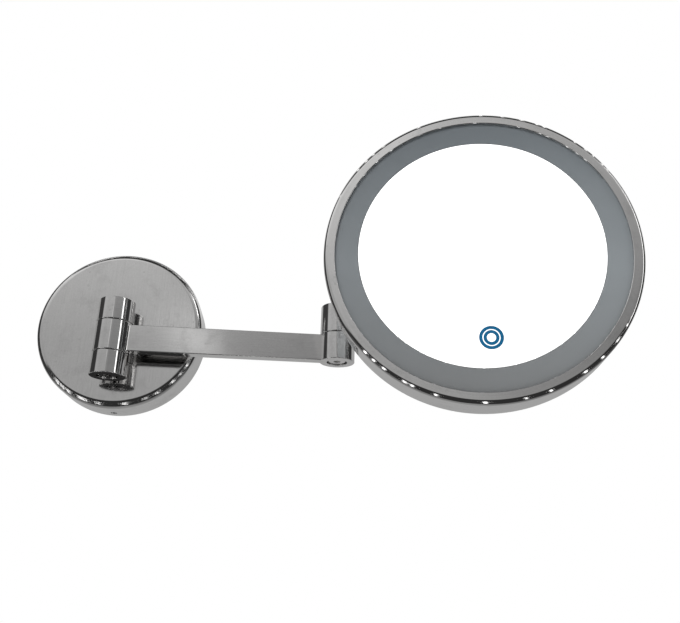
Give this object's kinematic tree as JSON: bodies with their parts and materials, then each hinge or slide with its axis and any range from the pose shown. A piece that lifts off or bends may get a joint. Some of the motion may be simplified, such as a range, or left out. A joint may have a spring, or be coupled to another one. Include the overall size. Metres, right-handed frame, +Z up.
{
  "type": "extendable shaving mirror",
  "caption": "Wall-held round lit mirror on two flat hinged arms with a round wall cover, barrel hinges, and a head that swivels and tilts.",
  "frame": {"origin": "centre of the wall cover, on the wall", "axes": "+Y into the wall, +Z up, +X to the right along the wall for a person facing it; the front arm lies along +X at rest"},
  "size_m": [0.4054, 0.1553, 0.2004],
  "materials": {
    "chrome": "polished",
    "steel": "zinc plated",
    "spring_steel": "oiled",
    "nylon": "satin",
    "mirror": "silvered",
    "frosted_glass": "frosted",
    "symbol_blue": "satin",
    "tape": "matte",
    "white_plastic": "satin",
    "back_plastic": "fine texture",
    "black_plastic": "satin",
    "circuit": "lacquered",
    "led": "clear",
    "chips": "moulded",
    "cell": "printed sleeve",
    "wire": "smooth"
  },
  "bodies": {
    "wall_side": {"wall_bracket": "steel", "wall_cover": "chrome", "cover_grub_screw": "steel", "backing_plate": "steel", "upper_knuckle": "chrome", "lower_knuckle": "chrome", "knuckle_screws": "steel", "knuckle_washers": "steel", "wall_hinge_pin": "steel", "wall_hinge_springs": "spring_steel", "wall_hinge_screw": "chrome"},
    "front_arm": {"inner_eye": "chrome", "front_arm_bar": "chrome", "outer_eye": "chrome", "wall_hinge_bushes": "nylon", "elbow_pin": "steel", "elbow_bottom_screw": "chrome", "elbow_top_screw": "chrome"},
    "rear_arm": {"elbow_eye": "chrome", "rear_arm_bar": "chrome", "tip_eye": "chrome", "elbow_bushes": "nylon", "elbow_springs": "spring_steel", "swivel_bushes": "nylon"},
    "yoke": {"head_yoke": "chrome", "swivel_bolt": "steel", "swivel_nut": "steel", "swivel_springs": "spring_steel", "tilt_bush": "nylon"},
    "head": {"tilt_bracket": "chrome", "tilt_bolt": "steel", "tilt_nut": "steel", "tilt_washers": "nylon", "bracket_screws": "steel", "bracket_backing": "steel", "head_rim": "chrome", "light_band": "frosted_glass", "mirror_glass": "mirror", "touch_symbol": "symbol_blue", "glass_tape": "tape", "rim_gasket": "tape", "light_tray": "white_plastic", "led_board": "circuit", "leds": "led", "back_cover": "back_plastic", "cover_screws": "steel", "battery_box": "black_plastic", "battery_cells": "cell", "battery_contacts": "steel", "battery_door": "back_plastic", "door_screw": "steel", "control_board": "circuit", "control_parts": "chips", "board_screws": "steel", "touch_board": "circuit", "touch_pad": "tape", "leads": "wire"}
  },
  "joints": [
    {"name": "wall_hinge", "type": "hinge", "parent": "wall_side", "child": "front_arm", "pos_m": [0, -0.0436, -0.0137], "axis": [0, 0, 1], "range_deg": [-188, 8]},
    {"name": "elbow_hinge", "type": "hinge", "parent": "front_arm", "child": "rear_arm", "pos_m": [0.16, -0.0436, 0.0075], "axis": [0, 0, 1], "range_deg": [-60, 105]},
    {"name": "head_swivel", "type": "hinge", "parent": "rear_arm", "child": "yoke", "pos_m": [0.25291, -0.08057, 0.0075], "axis": [0, 0, 1], "range_deg": [-11, 169]},
    {"name": "head_tilt", "type": "hinge", "parent": "yoke", "child": "head", "pos_m": [0.24901, -0.10121, 0.0075], "axis": [0.9826, -0.1857, 0], "range_deg": [-30, 30]}
  ]
}
